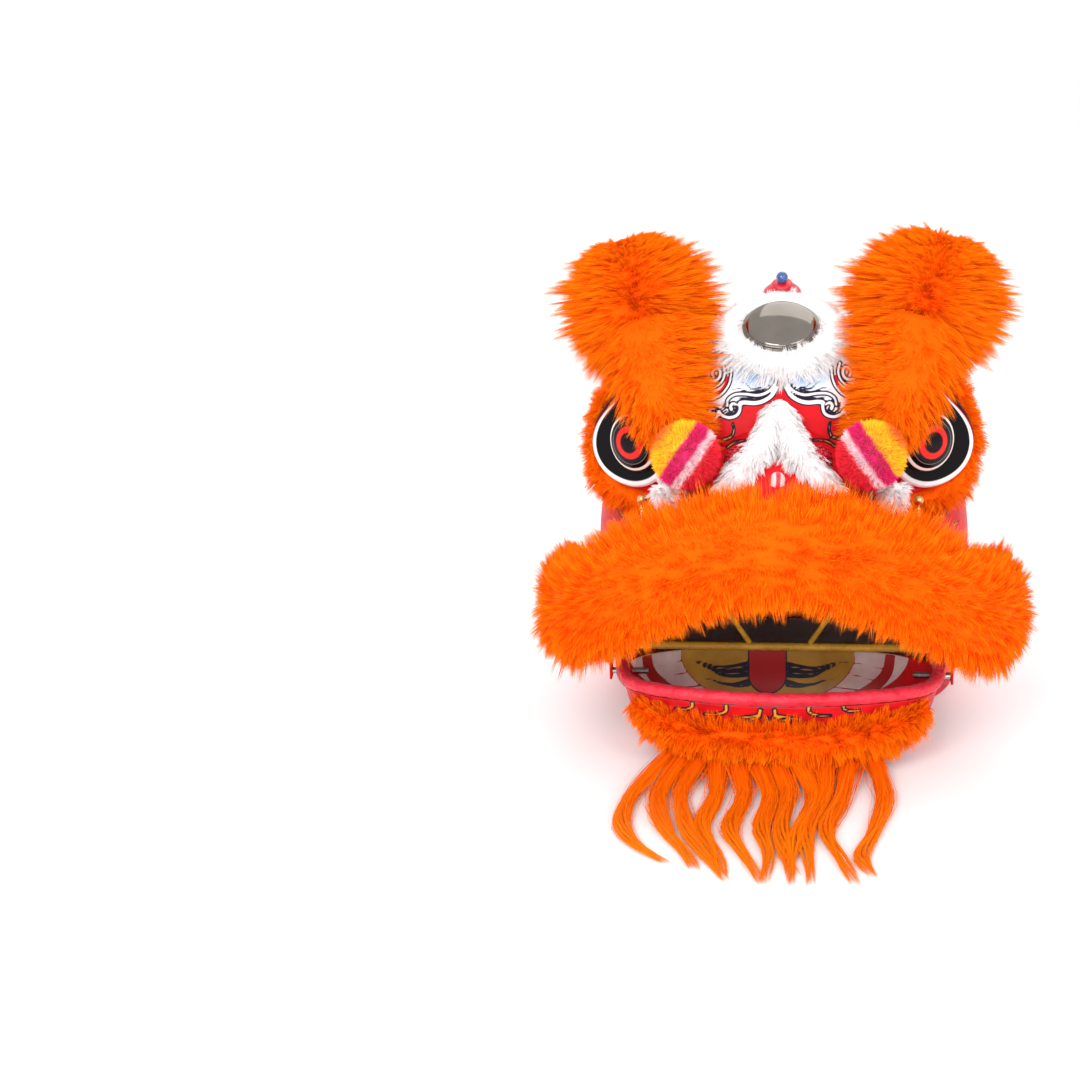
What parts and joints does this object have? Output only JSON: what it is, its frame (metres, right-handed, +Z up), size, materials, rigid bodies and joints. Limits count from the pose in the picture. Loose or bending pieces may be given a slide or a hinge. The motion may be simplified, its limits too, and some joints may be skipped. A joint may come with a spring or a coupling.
{
  "type": "lion dance head",
  "caption": "Lion dance costume head: hollow painted dome with fur-edged muzzle, hinged lower jaw, fur-rimmed eyes, tilting ears, forehead mirror, horn and a long beard.",
  "frame": {"origin": "middle of the box round the whole head, on the floor that it rests on", "axes": "+Z up, +X to the right of a viewer who faces the head, the face looks along -Y"},
  "size_m": [0.5862, 0.76, 0.5993],
  "materials": {
    "painted_shell": "gloss",
    "muzzle_paint": "gloss",
    "jaw_paint": "satin",
    "neck_binding": "matte",
    "lip_cloth": "satin",
    "orange_fur": "matte",
    "orange_hair": "satin",
    "white_fur": "matte",
    "nose_paint": "gloss",
    "red_sequin": "gloss",
    "striped_wool": "matte",
    "wire": "satin",
    "gold_bead": "gloss",
    "eye_paint": "gloss",
    "eye_gloss": "gloss",
    "mirror_glass": "polished",
    "horn_cloth": "matte",
    "blue_bead": "gloss",
    "yellow_tape": "satin"
  },
  "bodies": {
    "head": {"head_shell": "painted_shell", "upper_jaw": "muzzle_paint", "neck_rim": "neck_binding", "mouth_fur": "orange_fur", "eye_fur_right": "orange_fur", "eye_fur_left": "orange_fur", "brow_fur_right": "orange_fur", "brow_fur_left": "orange_fur", "nose_fur": "white_fur", "mirror_fur": "white_fur", "horn_fur": "white_fur", "white_tuft_right": "white_fur", "white_tuft_left": "white_fur", "nose_tip": "nose_paint", "nostril_right": "red_sequin", "nostril_left": "red_sequin", "pompom_right": "striped_wool", "pompom_left": "striped_wool", "pompom_stem_right": "wire", "pompom_stem_left": "wire", "ear_staple_right": "wire", "ear_staple_left": "wire", "jaw_pin_right": "wire", "jaw_pin_left": "wire", "cheek_bead_right": "gold_bead", "cheek_bead_left": "gold_bead", "eye_socket_right": "eye_paint", "eye_socket_left": "eye_paint", "eye_ball_right": "eye_gloss", "eye_ball_left": "eye_gloss", "mirror": "mirror_glass", "horn": "horn_cloth", "horn_ball": "blue_bead", "mouth_bar": "yellow_tape", "mouth_strut_right": "yellow_tape", "mouth_strut_left": "yellow_tape"},
    "jaw": {"jaw_shell": "jaw_paint", "lip_rim": "lip_cloth", "chin_fur": "orange_fur", "beard": "orange_hair"},
    "ear_left": {"ear_left": "orange_fur"},
    "ear_right": {"ear_right": "orange_fur"}
  },
  "joints": [
    {"name": "jaw_hinge", "type": "hinge", "parent": "head", "child": "jaw", "pos_m": [0, 0, 0.08], "axis": [-1, 0, 0], "range_deg": [0, 30]},
    {"name": "ear_right_tilt", "type": "hinge", "parent": "head", "child": "ear_right", "pos_m": [0.16, 0.132, 0.452], "axis": [0.9707, 0, -0.2402], "range_deg": [-12, 12]},
    {"name": "ear_left_tilt", "type": "hinge", "parent": "head", "child": "ear_left", "pos_m": [-0.16, 0.132, 0.452], "axis": [0.9707, 0, 0.2402], "range_deg": [-12, 12]}
  ]
}
